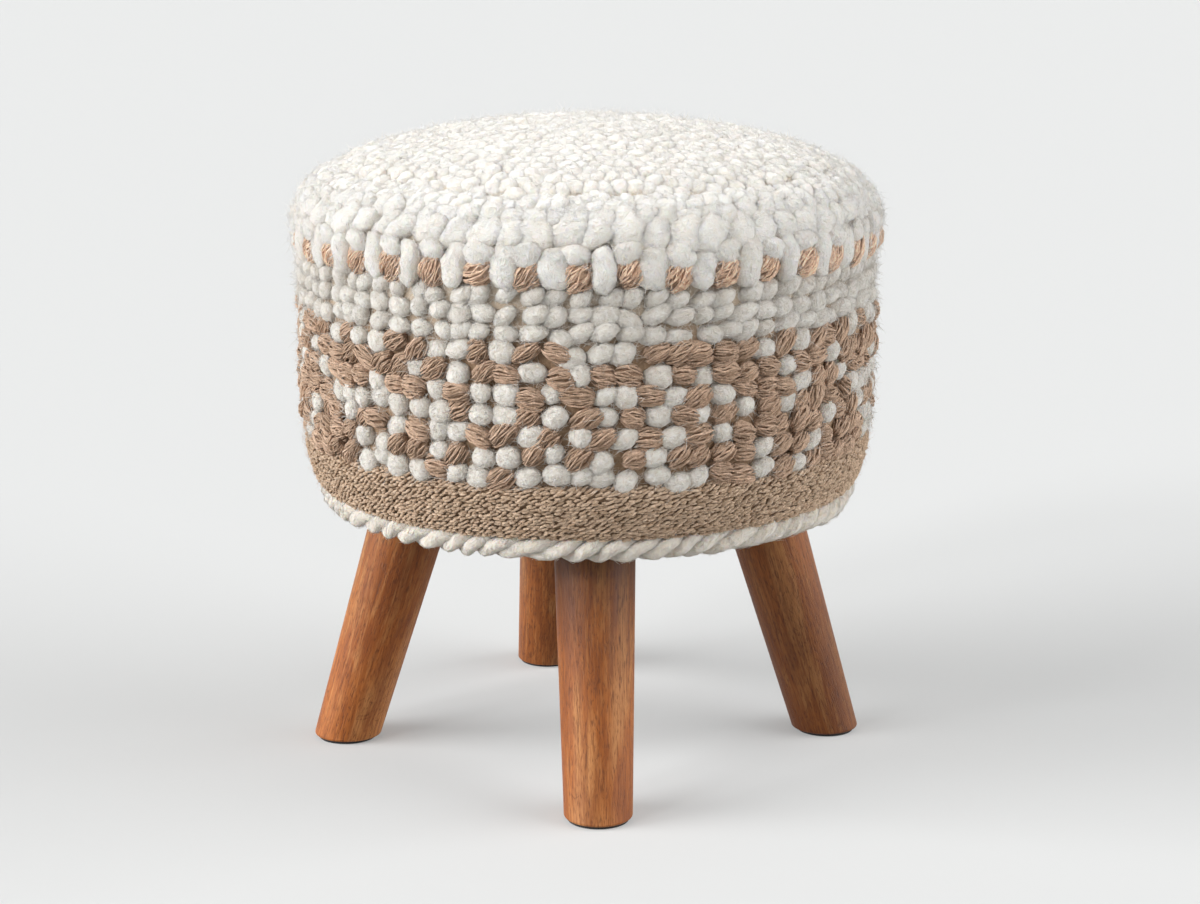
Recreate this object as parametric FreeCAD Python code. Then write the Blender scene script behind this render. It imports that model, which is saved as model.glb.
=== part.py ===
"""Round stool: a domed, hand-woven wool seat on four splayed, turned wooden legs.

Millimetres. The origin is on the floor under the middle of the seat, with +Z up. The front leg
stands towards -Y, the right leg towards +X and the rear leg a few degrees off +Y. The seat is
upholstered on a plywood board, and each leg hangs from the board on a hanger bolt and an insert nut.
"""
import FreeCAD, Part
import math
import os

# Seat outline, from the hem up
SEAT_DIAMETER = 400.0  # over the crests of the woven rows
HEM_HEIGHT = 178.0  # floor to the lowest point of the hem braid
BRAID_DIAMETER = 14.0
BRAID_SETBACK = 3.0  # from the lower band's outer face in to the braid's
LOWER_BAND_HEIGHT = 48.0  # hem to the first row of beads
PATTERN_ROWS = 7  # cream and tan beads
PATTERN_ROW_HEIGHT = 13.1
PLAIN_ROWS = 3  # cream beads above them
PLAIN_ROW_HEIGHT = 11.5
LOOP_ROW_HEIGHT = 25.8  # the tall row of loops under the rim
RIM_ROWS = 2
RIM_ROW_WIDTH = 14.0  # measured over the shoulder
SHOULDER_RADIUS = 32.0
CROWN_RISE = 26.0  # from the top of the shoulder's circle to the middle of the seat
HEM_INSET = 27.0  # how far the side draws in at the hem
TUCK_HEIGHT = 84.0  # height over which it draws in

# Cover and filling
COVER_THICKNESS = 11.0  # from a row's crest to the back of the cloth
ROW_RELIEF = 3.0  # depth of the grooves between rows
WADDING_THICKNESS = 8.0
FOLD_THICKNESS = 4.0  # the cover's edge, turned under the board
FOLD_WIDTH = 22.0  # from the board's edge to the turned edge
SOFT_CLEARANCE = 0.3

# Board, dust cover and staples
BOARD_THICKNESS = 18.0
DUST_COVER_THICKNESS = 0.8
DUST_COVER_OVERLAP = 11.0  # over the cover's turned edge
STAPLE_CROWN = 10.0
STAPLE_LEG = 9.0
STAPLE_WIRE_WIDTH = 1.2
STAPLE_WIRE_THICKNESS = 0.7
COVER_STAPLES = 24
COVER_STAPLE_INSET = 5.0  # from the board's edge
DUST_STAPLES = 16

# Legs and their fixings
LEG_TURNS = {"front": -90.0, "right": 0.0, "rear": 98.0, "left": 180.0}  # rear: bored off its quarter
LEG_CLEARANCE = 6.5  # from the cover's turned edge in to a leg's top
LEG_SPLAY = 16.5  # degrees from upright
LEG_TOP_DIAMETER = 55.0
LEG_FOOT_DIAMETER = 45.0
LEG_EDGE_ROUND = 1.5
PAD_THICKNESS = 2.0
PAD_MARGIN = 2.5  # from the leg's edge in to the pad's
BOLT_DIAMETER = 8.0
BOLT_WOOD_LENGTH = 35.0
BOLT_POINT = 6.0
BOLT_TOP_SETBACK = 1.5  # bolt's end below the board's top face
BOLT_CHAMFER = 1.0
BOLT_CLEARANCE = 0.05
NUT_BARREL_DIAMETER = 12.0
NUT_LENGTH = 15.0
NUT_FLANGE_DIAMETER = 17.0
NUT_FLANGE_THICKNESS = 1.5
NUT_CLEARANCE = 0.05
DUST_HOLE_CLEARANCE = 1.0

# Levels and radii that follow from the sizes above
SEAT_RADIUS = SEAT_DIAMETER / 2
FOLD_BOTTOM = HEM_HEIGHT + BRAID_DIAMETER + SOFT_CLEARANCE
BOARD_BOTTOM = FOLD_BOTTOM + FOLD_THICKNESS
BOARD_TOP = BOARD_BOTTOM + BOARD_THICKNESS
BEADS_BOTTOM = HEM_HEIGHT + LOWER_BAND_HEIGHT
PATTERN_TOP = BEADS_BOTTOM + PATTERN_ROWS * PATTERN_ROW_HEIGHT
BEADS_TOP = PATTERN_TOP + PLAIN_ROWS * PLAIN_ROW_HEIGHT
RIM_HEIGHT = BEADS_TOP + LOOP_ROW_HEIGHT
TUCK_TOP = HEM_HEIGHT + TUCK_HEIGHT
CROWN_HEIGHT = RIM_HEIGHT + SHOULDER_RADIUS + CROWN_RISE
GROUND_THICKNESS = COVER_THICKNESS - ROW_RELIEF
WADDING_OUTSIDE = COVER_THICKNESS + SOFT_CLEARANCE
FOAM_OUTSIDE = WADDING_OUTSIDE + WADDING_THICKNESS + SOFT_CLEARANCE
LEG_TOP = BOARD_BOTTOM - DUST_COVER_THICKNESS

AXIS = FreeCAD.Vector(0, 0, 1)
ORIGIN = FreeCAD.Vector(0, 0, 0)


def at(radius, height):
    """A point of a half section, in the plane y = 0."""
    return FreeCAD.Vector(radius, 0, height)


def side_radius(height):
    """Radius of the row crests at a height: upright, then drawn in to the hem along a quarter ellipse."""
    drop = max(0.0, TUCK_TOP - height) / TUCK_HEIGHT
    return SEAT_RADIUS - HEM_INSET * (1 - math.sqrt(1 - drop * drop))


def side_edges(inset, low, high):
    """The side's line from low to high, moved in from the row crests by inset."""
    edges = []
    upright_from = max(low, min(TUCK_TOP, high))
    if low < upright_from:
        middle = at(SEAT_RADIUS - HEM_INSET - inset, TUCK_TOP)
        ellipse = Part.Ellipse(middle - at(0, TUCK_HEIGHT), middle + at(HEM_INSET, 0), middle)
        start = math.acos((TUCK_TOP - low) / TUCK_HEIGHT)
        end = math.acos((TUCK_TOP - upright_from) / TUCK_HEIGHT)
        edges.append(Part.ArcOfEllipse(ellipse, start, end).toShape())
    if upright_from < high:
        edges.append(Part.makeLine(at(SEAT_RADIUS - inset, upright_from), at(SEAT_RADIUS - inset, high)))
    return edges


def solid_of_revolution(edges):
    """Turns a closed half section about the stool's axis."""
    wire = Part.Wire(Part.__sortEdges__(edges))
    return Part.Face(wire).revolve(ORIGIN, AXIS, 360)


class Dome:
    """The seat's top: a shoulder arc that stands on the rim, and a crown arc that is tangent to it."""

    def __init__(self):
        self.shoulder_radius = SHOULDER_RADIUS
        self.shoulder = at(SEAT_RADIUS - ROW_RELIEF - SHOULDER_RADIUS, RIM_HEIGHT)
        reach = self.shoulder.x
        rise = CROWN_HEIGHT - RIM_HEIGHT
        span = reach**2 + rise**2 - SHOULDER_RADIUS**2
        self.crown_radius = span / (2 * CROWN_RISE)
        self.crown = at(0, CROWN_HEIGHT - self.crown_radius)
        self.join = math.acos(reach / (self.crown_radius - SHOULDER_RADIUS))

    def on_shoulder(self, angle, inset=0.0):
        """A point on the shoulder, at an angle up from the rim."""
        radius = self.shoulder_radius - inset
        return self.shoulder + at(radius * math.cos(angle), radius * math.sin(angle))

    def on_crown(self, angle, inset=0.0):
        """A point on the crown, at an angle up from the level through the crown's centre."""
        radius = self.crown_radius - inset
        return self.crown + at(radius * math.cos(angle), radius * math.sin(angle))

    def edges(self, inset, start=0.0):
        """The dome's line from an angle on the shoulder to the seat's middle, moved in by inset."""
        top = math.pi / 2
        shoulder = [self.on_shoulder(a, inset) for a in (start, (start + self.join) / 2, self.join)]
        crown = [self.on_crown(a, inset) for a in (self.join, (self.join + top) / 2, top)]
        return [Part.Arc(*shoulder).toShape(), Part.Arc(*crown).toShape()]


DOME = Dome()


def shell_section(outer, inner):
    """Closes two lines, outer and inner, that both run up to the seat's middle."""
    foot = Part.makeLine(inner[0].Vertexes[0].Point, outer[0].Vertexes[0].Point)
    apex = Part.makeLine(inner[-1].Vertexes[-1].Point, outer[-1].Vertexes[-1].Point)
    return [*outer, apex, *inner, foot]


def woven_row(low, high):
    """One row's rounded crest between two grooves."""
    middle = (low + high) / 2
    groove_low = at(side_radius(low) - ROW_RELIEF, low)
    groove_high = at(side_radius(high) - ROW_RELIEF, high)
    return Part.Arc(groove_low, at(side_radius(middle), middle), groove_high).toShape()


def cover_top_panel():
    """The domed top panel, with the rolled rows of large stitches along its rim."""
    step = RIM_ROW_WIDTH / SHOULDER_RADIUS
    rows = []
    for row in range(RIM_ROWS):
        crest = DOME.on_shoulder((row + 0.5) * step, -ROW_RELIEF)
        ends = (DOME.on_shoulder(row * step), DOME.on_shoulder((row + 1) * step))
        rows.append(Part.Arc(ends[0], crest, ends[1]).toShape())
    outer = rows + DOME.edges(0.0, RIM_ROWS * step)
    inner = DOME.edges(GROUND_THICKNESS)
    return solid_of_revolution(shell_section(outer, inner))


def cover_side_band():
    """The upright band: rows of beads, with one tall row of loops above them."""
    levels = [BEADS_BOTTOM + row * PATTERN_ROW_HEIGHT for row in range(PATTERN_ROWS)]
    levels += [PATTERN_TOP + row * PLAIN_ROW_HEIGHT for row in range(PLAIN_ROWS)]
    levels += [BEADS_TOP, RIM_HEIGHT]
    rows = [woven_row(low, high) for low, high in zip(levels, levels[1:])]
    back = side_edges(COVER_THICKNESS, BEADS_BOTTOM, RIM_HEIGHT)
    ends = []
    for level in (BEADS_BOTTOM, RIM_HEIGHT):
        radius = side_radius(level)
        ends.append(Part.makeLine(at(radius - COVER_THICKNESS, level), at(radius - ROW_RELIEF, level)))
    return solid_of_revolution(rows + back + ends)


def board_radius():
    return side_radius(BOARD_BOTTOM) - FOAM_OUTSIDE


def fold_radius():
    """Radius of the cover's turned edge under the board."""
    return board_radius() - FOLD_WIDTH


def lower_band_radius():
    """Radius of the lower band's outer face where it turns under the board."""
    return side_radius(BOARD_BOTTOM) - ROW_RELIEF


def cover_lower_band():
    """The flat-woven band under the beads, which turns under the board."""
    outside = lower_band_radius()
    turn = math.sqrt(0.5) * FOLD_THICKNESS
    bend = Part.Arc(
        at(outside, BOARD_BOTTOM),
        at(outside - FOLD_THICKNESS + turn, BOARD_BOTTOM - turn),
        at(outside - FOLD_THICKNESS, FOLD_BOTTOM),
    ).toShape()
    back = side_radius(BOARD_BOTTOM) - COVER_THICKNESS
    top = side_radius(BEADS_BOTTOM)
    edges = [
        *side_edges(ROW_RELIEF, BOARD_BOTTOM, BEADS_BOTTOM),
        bend,
        Part.makeLine(at(outside - FOLD_THICKNESS, FOLD_BOTTOM), at(fold_radius(), FOLD_BOTTOM)),
        Part.makeLine(at(fold_radius(), FOLD_BOTTOM), at(fold_radius(), BOARD_BOTTOM)),
        Part.makeLine(at(fold_radius(), BOARD_BOTTOM), at(back, BOARD_BOTTOM)),
        *side_edges(COVER_THICKNESS, BOARD_BOTTOM, BEADS_BOTTOM),
        Part.makeLine(at(top - COVER_THICKNESS, BEADS_BOTTOM), at(top - ROW_RELIEF, BEADS_BOTTOM)),
    ]
    return solid_of_revolution(edges).cut(Part.makeCompound(cover_staples() + dust_cover_staples()))


def hem_braid():
    """The thick braid sewn along the hem, as a plain round ring."""
    radius = BRAID_DIAMETER / 2
    ring = lower_band_radius() - BRAID_SETBACK - radius
    return Part.makeTorus(ring, radius, FreeCAD.Vector(0, 0, HEM_HEIGHT + radius))


def wadding_wrap():
    """Wadding over the top and sides of the foam, down to the board's underside."""
    outer_dome = DOME.edges(WADDING_OUTSIDE - ROW_RELIEF)
    inner_dome = DOME.edges(FOAM_OUTSIDE - SOFT_CLEARANCE - ROW_RELIEF)
    outer = side_edges(WADDING_OUTSIDE, BOARD_BOTTOM, RIM_HEIGHT) + outer_dome
    inner = side_edges(FOAM_OUTSIDE - SOFT_CLEARANCE, BOARD_BOTTOM, RIM_HEIGHT) + inner_dome
    return solid_of_revolution(shell_section(outer, inner))


def foam_block():
    """The firm foam drum that stands on the board."""
    side = side_edges(FOAM_OUTSIDE, BOARD_TOP, RIM_HEIGHT)
    low = at(side_radius(BOARD_TOP) - FOAM_OUTSIDE, BOARD_TOP)
    high = at(SEAT_RADIUS - FOAM_OUTSIDE, RIM_HEIGHT)
    edges = [
        *side,
        Part.makeLine(at(0, BOARD_TOP), low),
        Part.makeLine(high, at(0, RIM_HEIGHT)),
        Part.makeLine(at(0, RIM_HEIGHT), at(0, BOARD_TOP)),
    ]
    return solid_of_revolution(edges)


def crown_pad():
    """The softer domed pad on the foam block."""
    dome = DOME.edges(FOAM_OUTSIDE - ROW_RELIEF)
    edge = dome[0].Vertexes[0].Point
    apex = dome[-1].Vertexes[-1].Point
    floor = at(0, RIM_HEIGHT)
    return solid_of_revolution([*dome, Part.makeLine(apex, floor), Part.makeLine(floor, edge)])


def turned_copies(shape, turns):
    """Copies of a shape, each turned about the stool's axis by its own number of degrees."""
    copies = []
    for turn in turns:
        copy = shape.copy()
        copy.rotate(ORIGIN, AXIS, turn)
        copies.append(copy)
    return copies


def around(shape, count, start=0.0):
    """Copies of a shape, evenly spaced about the stool's axis."""
    return turned_copies(shape, [start + 360.0 * index / count for index in range(count)])


def staple(radius, crown_bottom):
    """A wire staple, driven upwards, with its crown across the +X direction."""
    half = STAPLE_CROWN / 2
    inside = half - STAPLE_WIRE_WIDTH
    shelf = crown_bottom + STAPLE_WIRE_THICKNESS
    tip = crown_bottom + STAPLE_LEG
    outline = [
        (-half, crown_bottom),
        (half, crown_bottom),
        (half, tip),
        (inside, tip),
        (inside, shelf),
        (-inside, shelf),
        (-inside, tip),
        (-half, tip),
        (-half, crown_bottom),
    ]
    start = radius - STAPLE_WIRE_WIDTH / 2
    points = [FreeCAD.Vector(start, along, height) for along, height in outline]
    face = Part.Face(Part.makePolygon(points))
    return face.extrude(FreeCAD.Vector(STAPLE_WIRE_WIDTH, 0, 0))


def cover_staples():
    """Staples through the turned edge of the cover, pulled flush into the cloth."""
    return around(staple(board_radius() - COVER_STAPLE_INSET, FOLD_BOTTOM), COVER_STAPLES)


def dust_cover_staples():
    """Staples through the dust cover and the cover's turned edge, between the cover's own staples."""
    radius = fold_radius() + DUST_COVER_OVERLAP / 2
    crown_bottom = FOLD_BOTTOM - DUST_COVER_THICKNESS - STAPLE_WIRE_THICKNESS
    return around(staple(radius, crown_bottom), DUST_STAPLES, 180.0 / DUST_STAPLES)


def bolt_radius():
    """Distance from the stool's axis to a leg's bolt, which keeps the leg's top inside the turned edge."""
    return fold_radius() - LEG_CLEARANCE - LEG_TOP_DIAMETER / 2 / math.cos(math.radians(LEG_SPLAY))


def upright_bore(diameter, low, high):
    """An upright cylinder on the first leg's bolt axis."""
    length = high - low
    return Part.makeCylinder(diameter / 2, length, FreeCAD.Vector(bolt_radius(), 0, low), AXIS)


def at_each_leg(shape):
    """Copies of a shape at the four legs, in the order of LEG_TURNS, from one that stands towards +X."""
    return turned_copies(shape, LEG_TURNS.values())


def insert_nut(clearance=0.0):
    """A flanged insert nut, set flush in the board's top face; with a clearance it is its seat."""
    barrel = upright_bore(NUT_BARREL_DIAMETER + 2 * clearance, BOARD_TOP - NUT_LENGTH, BOARD_TOP)
    flange_bottom = BOARD_TOP - NUT_FLANGE_THICKNESS
    flange = upright_bore(NUT_FLANGE_DIAMETER + 2 * clearance, flange_bottom, BOARD_TOP)
    return barrel.fuse(flange).removeSplitter()


def bored_insert_nut():
    bore = upright_bore(BOLT_DIAMETER + 2 * BOLT_CLEARANCE, BOARD_BOTTOM, BOARD_TOP)
    return insert_nut().cut(bore)


def base_board():
    """The round plywood board, bored for the bolts and insert nuts and pierced by the staples."""
    board = Part.makeCylinder(board_radius(), BOARD_THICKNESS, FreeCAD.Vector(0, 0, BOARD_BOTTOM))
    bolt_hole = upright_bore(BOLT_DIAMETER + 2 * BOLT_CLEARANCE, BOARD_BOTTOM, BOARD_TOP)
    holes = at_each_leg(insert_nut(NUT_CLEARANCE)) + at_each_leg(bolt_hole)
    return board.cut(Part.makeCompound(holes)).cut(
        Part.makeCompound(cover_staples() + dust_cover_staples())
    )


def dust_cover():
    """The thin cloth under the board, which steps down over the cover's turned edge."""
    rim = fold_radius() + DUST_COVER_OVERLAP
    step = fold_radius() - SOFT_CLEARANCE
    below = FOLD_BOTTOM - DUST_COVER_THICKNESS
    outline = [
        (0, BOARD_BOTTOM),
        (step, BOARD_BOTTOM),
        (step, FOLD_BOTTOM),
        (rim, FOLD_BOTTOM),
        (rim, below),
        (step - DUST_COVER_THICKNESS, below),
        (step - DUST_COVER_THICKNESS, LEG_TOP),
        (0, LEG_TOP),
        (0, BOARD_BOTTOM),
    ]
    points = [at(radius, height) for radius, height in outline]
    sheet = solid_of_revolution(Part.makePolygon(points).Edges)
    hole = upright_bore(BOLT_DIAMETER + 2 * DUST_HOLE_CLEARANCE, LEG_TOP, BOARD_BOTTOM)
    return sheet.cut(Part.makeCompound(at_each_leg(hole) + dust_cover_staples()))


def hanger_bolt():
    """A hanger bolt: a pointed wood end in the leg and a machine end in the insert nut."""
    radius = BOLT_DIAMETER / 2
    low = LEG_TOP - BOLT_WOOD_LENGTH
    high = BOARD_TOP - BOLT_TOP_SETBACK
    outline = [
        (0, low),
        (radius, low + BOLT_POINT),
        (radius, high - BOLT_CHAMFER),
        (radius - BOLT_CHAMFER, high),
        (0, high),
        (0, low),
    ]
    bolt = solid_of_revolution(Part.makePolygon([at(r, z) for r, z in outline]).Edges)
    bolt.translate(FreeCAD.Vector(bolt_radius(), 0, 0))
    return bolt


def foot_radius():
    """Distance from the stool's axis to a leg's axis at the foot's cut face."""
    return bolt_radius() + (LEG_TOP - PAD_THICKNESS) * math.tan(math.radians(LEG_SPLAY))


def leg():
    """A tapered, turned leg that splays towards +X, cut level at both ends and bored for its bolt."""
    splay = math.radians(LEG_SPLAY)
    length = (LEG_TOP - PAD_THICKNESS) / math.cos(splay)
    taper = (LEG_TOP_DIAMETER - LEG_FOOT_DIAMETER) / 2 / length
    spare = LEG_TOP_DIAMETER * math.tan(splay)
    up = FreeCAD.Vector(-math.sin(splay), 0, math.cos(splay))
    start = FreeCAD.Vector(foot_radius(), 0, PAD_THICKNESS) - up * spare
    turned = Part.makeCone(
        LEG_FOOT_DIAMETER / 2 - taper * spare,
        LEG_TOP_DIAMETER / 2 + taper * spare,
        length + 2 * spare,
        start,
        up,
    )
    reach = foot_radius() + LEG_TOP_DIAMETER
    corner = FreeCAD.Vector(-reach, -reach, PAD_THICKNESS)
    level = Part.makeBox(2 * reach, 2 * reach, LEG_TOP - PAD_THICKNESS, corner)
    shape = turned.common(level)
    foot_edge = [e for e in shape.Edges if abs(e.CenterOfMass.z - PAD_THICKNESS) < LEG_EDGE_ROUND / 10]
    shape = shape.makeFillet(LEG_EDGE_ROUND, foot_edge)
    return shape.cut(bolt_seat())


def bolt_seat():
    """The bored hole that the bolt's wood end fills, with the bolt's own point."""
    seat = upright_bore(BOLT_DIAMETER + 2 * BOLT_CLEARANCE, LEG_TOP - BOLT_WOOD_LENGTH + BOLT_POINT, LEG_TOP)
    point = Part.makeCone(
        0.0,
        BOLT_DIAMETER / 2 + BOLT_CLEARANCE,
        BOLT_POINT,
        FreeCAD.Vector(bolt_radius(), 0, LEG_TOP - BOLT_WOOD_LENGTH),
        AXIS,
    )
    return seat.fuse(point)


def foot_pad():
    """The thin round pad under a leg."""
    radius = LEG_FOOT_DIAMETER / 2 - PAD_MARGIN
    return Part.makeCylinder(radius, PAD_THICKNESS, FreeCAD.Vector(foot_radius(), 0, 0))


def build():
    """Every node of the stool, by name."""
    nodes = {
        "cover_top_panel": cover_top_panel(),
        "cover_side_band": cover_side_band(),
        "cover_lower_band": cover_lower_band(),
        "hem_braid": hem_braid(),
        "wadding_wrap": wadding_wrap(),
        "crown_pad": crown_pad(),
        "foam_block": foam_block(),
        "base_board": base_board(),
        "dust_cover": dust_cover(),
        "cover_staples": Part.makeCompound(cover_staples()),
        "dust_cover_staples": Part.makeCompound(dust_cover_staples()),
        "insert_nuts": Part.makeCompound(at_each_leg(bored_insert_nut())),
        "hanger_bolts": Part.makeCompound(at_each_leg(hanger_bolt())),
    }
    for name, leg_shape, pad_shape in zip(LEG_TURNS, at_each_leg(leg()), at_each_leg(foot_pad())):
        nodes["leg_" + name] = leg_shape
        nodes["foot_pad_" + name] = pad_shape
    return nodes


os.makedirs("parts", exist_ok=True)
for node, shape in build().items():
    shape.exportStep(os.path.join("parts", node + ".step"))
    solids = shape.Solids
    print(node, len(solids), "solids", round(sum(s.Volume for s in solids) / 1000, 2), "cm3", shape.isValid())
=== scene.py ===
import math

import bpy
import numpy as np
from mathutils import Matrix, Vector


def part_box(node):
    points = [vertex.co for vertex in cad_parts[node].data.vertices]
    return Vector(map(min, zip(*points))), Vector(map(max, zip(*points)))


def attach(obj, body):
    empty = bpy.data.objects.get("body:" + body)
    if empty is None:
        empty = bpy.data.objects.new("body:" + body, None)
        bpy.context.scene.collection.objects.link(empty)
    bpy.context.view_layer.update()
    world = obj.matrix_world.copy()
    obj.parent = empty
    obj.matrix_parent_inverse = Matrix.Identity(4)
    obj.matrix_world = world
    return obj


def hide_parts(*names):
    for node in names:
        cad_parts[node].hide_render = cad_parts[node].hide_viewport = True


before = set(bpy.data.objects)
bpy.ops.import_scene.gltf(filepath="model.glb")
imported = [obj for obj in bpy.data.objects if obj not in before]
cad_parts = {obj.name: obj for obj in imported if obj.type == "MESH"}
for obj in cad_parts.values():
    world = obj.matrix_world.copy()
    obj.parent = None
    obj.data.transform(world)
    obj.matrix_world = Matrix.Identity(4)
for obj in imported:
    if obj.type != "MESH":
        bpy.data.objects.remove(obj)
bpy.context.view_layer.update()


# Legs
# Four turned legs of an oiled, warm brown hardwood, each from its own billet.
# They taper to the foot, are cut level at both ends and hang from bolts in the board.
LEG_SPLAY = math.radians(16.5)
LEG_TURNS = {"front": -90, "right": 0, "rear": 98, "left": 180}
HEARTWOOD = (0.24, 0.063, 0.0125, 1)
MIDDLE_WOOD = (0.44, 0.138, 0.029, 1)
SAPWOOD = (0.6, 0.275, 0.1, 1)
PORE = (0.12, 0.032, 0.008, 1)
BILLET_STEP = 0.37
# Painted shade on each leg: a colour factor low on the leg and under the seat, for the seat's shadow and how
# each leg is lit.
LEG_PAINTED_SHADE = {"front": (0.83, 0.23), "left": (0.93, 0.58), "rear": (0.65, 0.22), "right": (0.42, 0.74)}
PAINTED_SHADE_HEIGHTS = (0.07, 0.185)


def new_material(name):
    """An empty material with its Principled shader; returns the material, its node tree and the shader."""
    material = bpy.data.materials.new(name)
    material.use_nodes = True
    tree = material.node_tree
    return material, tree, tree.nodes["Principled BSDF"]


def plug(socket, value):
    """Links an output to a socket, or sets the socket to a value."""
    if isinstance(value, bpy.types.NodeSocket):
        socket.id_data.links.new(value, socket)
    else:
        socket.default_value = value


def fill(made, **values):
    """Sets a shader node's properties and plugs its sockets, both by name, and returns the node."""
    for key, value in values.items():
        if hasattr(made, key):
            setattr(made, key, value)
        else:
            plug(made.inputs[key.replace("_", " ")], value)
    return made


def add(tree, kind, *first, **values):
    """Adds a shader node; first goes to its sockets in their order, and values to fill."""
    made = fill(tree.nodes.new("ShaderNode" + kind), **values)
    for socket, value in zip(made.inputs, first):
        plug(socket, value)
    return made


def mixed(tree, factor, first, second, blend="MIX"):
    """Colour mix of two colours or outputs by a factor that is a number or an output."""
    made = add(tree, "Mix", data_type="RGBA", blend_type=blend)
    for socket, value in ((0, factor), (6, first), (7, second)):
        plug(made.inputs[socket], value)
    return made.outputs[2]


def ramp(tree, factor, *stops):
    """A colour ramp through (position, colour) stops; a number stands for a grey."""
    made = add(tree, "ValToRGB", factor)
    band = made.color_ramp.elements
    while len(band) < len(stops):
        band.new(0.5)
    for stop, (position, colour) in zip(band, stops):
        stop.position = position
        stop.color = colour if not isinstance(colour, (int, float)) else (colour,) * 3 + (1,)
    return made.outputs[0]


def noise(tree, place, scale, detail, **values):
    """Value of a noise texture at a place."""
    return add(tree, "TexNoise", Vector=place, Scale=scale, Detail=detail, **values).outputs["Fac"]


def oiled_wood(name, turn, foot, billet, foot_painted_shade, seat_painted_shade):
    """Hardwood along one leg: broad heart and sap bands, a wavering figure, fine pores and a few pin knots.

    The leg's own axis is the pattern's z, and billet moves the pattern so that no two legs match.
    foot_painted_shade and seat_painted_shade scale the colour low on the leg and under the seat: a
    painted shade for the seat's shadow and for how each leg is lit.
    """
    material, tree, shader = new_material(name)
    place = add(tree, "TexCoord").outputs["Object"]
    along = add(tree, "Mapping", vector_type="TEXTURE", Vector=place, Location=foot,
                Rotation=(0, -LEG_SPLAY, math.radians(turn))).outputs[0]

    def drawn(across, length, offset=0.0):
        """The leg's own coordinates, drawn out along the grain."""
        shift = (offset + 7 * billet, 11 * billet, 5 * billet)
        return add(tree, "Mapping", Vector=along, Scale=(across, across, length), Location=shift).outputs[0]

    broad = noise(tree, drawn(30, 5.5), 1.0, 2.0, Distortion=0.6)
    figure = noise(tree, drawn(80, 11, 2.0), 1.0, 6.0, Distortion=2.4)
    fibre = noise(tree, drawn(700, 42, 4.0), 1.0, 4.0, Roughness=0.7)
    pores = noise(tree, drawn(1300, 190, 5.0), 1.0, 2.0)
    flame = noise(tree, drawn(46, 12, 9.0), 1.0, 3.0, Distortion=1.2)
    knots = add(tree, "TexVoronoi", Vector=drawn(52, 30, 1.0), Scale=1.0).outputs["Distance"]

    colour = MIDDLE_WOOD
    for marks, low, high, wood in (
        (broad, (0.52, 0.0), (0.6, 0.7), SAPWOOD),
        (broad, (0.34, 0.75), (0.48, 0.0), HEARTWOOD),
        (figure, (0.36, 0.6), (0.5, 0.0), HEARTWOOD),
        (figure, (0.53, 0.0), (0.7, 0.65), SAPWOOD),
        (fibre, (0.38, 0.6), (0.55, 0.0), HEARTWOOD),
        (fibre, (0.55, 0.0), (0.75, 0.4), SAPWOOD),
    ):
        colour = mixed(tree, ramp(tree, marks, low, high), colour, wood)
    lines = add(tree, "Math", flame, 0.06, operation="PINGPONG").outputs[0]
    crack = ramp(tree, lines, (0.0, 0.75), (0.012, 0.0))
    broken = mixed(tree, 1.0, crack, ramp(tree, fibre, (0.42, 1.0), (0.56, 0.0)), "MULTIPLY")
    pore_marks = ramp(tree, pores, (0.54, 0.0), (0.68, 0.65))
    pin_knots = ramp(tree, knots, (0.03, 0.7), (0.1, 0.0))
    for marks in (broken, pore_marks, pin_knots):
        colour = mixed(tree, marks, colour, PORE)
    height = add(tree, "SeparateXYZ", Vector=place).outputs["Z"]
    # Painted shade: the wood colour is scaled from the foot to the seat, for the seat's shadow and each leg's
    # light.
    painted_leg_shade = ramp(tree, height, *zip(PAINTED_SHADE_HEIGHTS, (foot_painted_shade, seat_painted_shade)))
    colour = mixed(tree, 1.0, colour, painted_leg_shade, "MULTIPLY")

    gloss = ramp(tree, figure, (0.3, 0.42), (0.75, 0.6))
    relief = mixed(tree, 1.0, ramp(tree, fibre, (0.3, 0.5), (0.7, 1.0)), pore_marks, "SUBTRACT")
    bump = add(tree, "Bump", Height=relief, Strength=0.4, Distance=0.0006).outputs[0]
    fill(shader, Base_Color=colour, Roughness=gloss, Specular_IOR_Level=0.28, Normal=bump)
    return material


def paint(name, finish):
    """Gives a CAD node its finish."""
    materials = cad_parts[name].data.materials
    materials.clear()
    materials.append(finish)


for billet, (side, turn) in enumerate(LEG_TURNS.items(), 1):
    low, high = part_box("foot_pad_" + side)
    foot = ((low.x + high.x) / 2, (low.y + high.y) / 2, high.z)
    wood = oiled_wood("leg_wood_" + side, turn, foot, BILLET_STEP * billet, *LEG_PAINTED_SHADE[side])
    paint("leg_" + side, wood)


# Foot pads
# Thin round pads of black rubber, glued under the cut feet.
# Each is a little smaller than its foot, so that only a dark line shows.
RUBBER_TONES = ((0.008, 0.008, 0.008, 1), (0.03, 0.029, 0.028, 1))


def pad_rubber():
    """Black rubber with a fine, uneven grain that dulls it."""
    material, tree, shader = new_material("pad_rubber")
    grain = noise(tree, add(tree, "TexCoord").outputs["Object"], 900.0, 3.0)
    colour = ramp(tree, grain, *zip((0.3, 0.75), RUBBER_TONES))
    gloss = ramp(tree, grain, (0.3, 0.75), (0.7, 0.95))
    bump = add(tree, "Bump", Height=grain, Strength=0.4, Distance=0.0003).outputs[0]
    fill(shader, Base_Color=colour, Roughness=gloss, Normal=bump)
    return material


rubber = pad_rubber()
for side in LEG_TURNS:
    paint("foot_pad_" + side, rubber)


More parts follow.
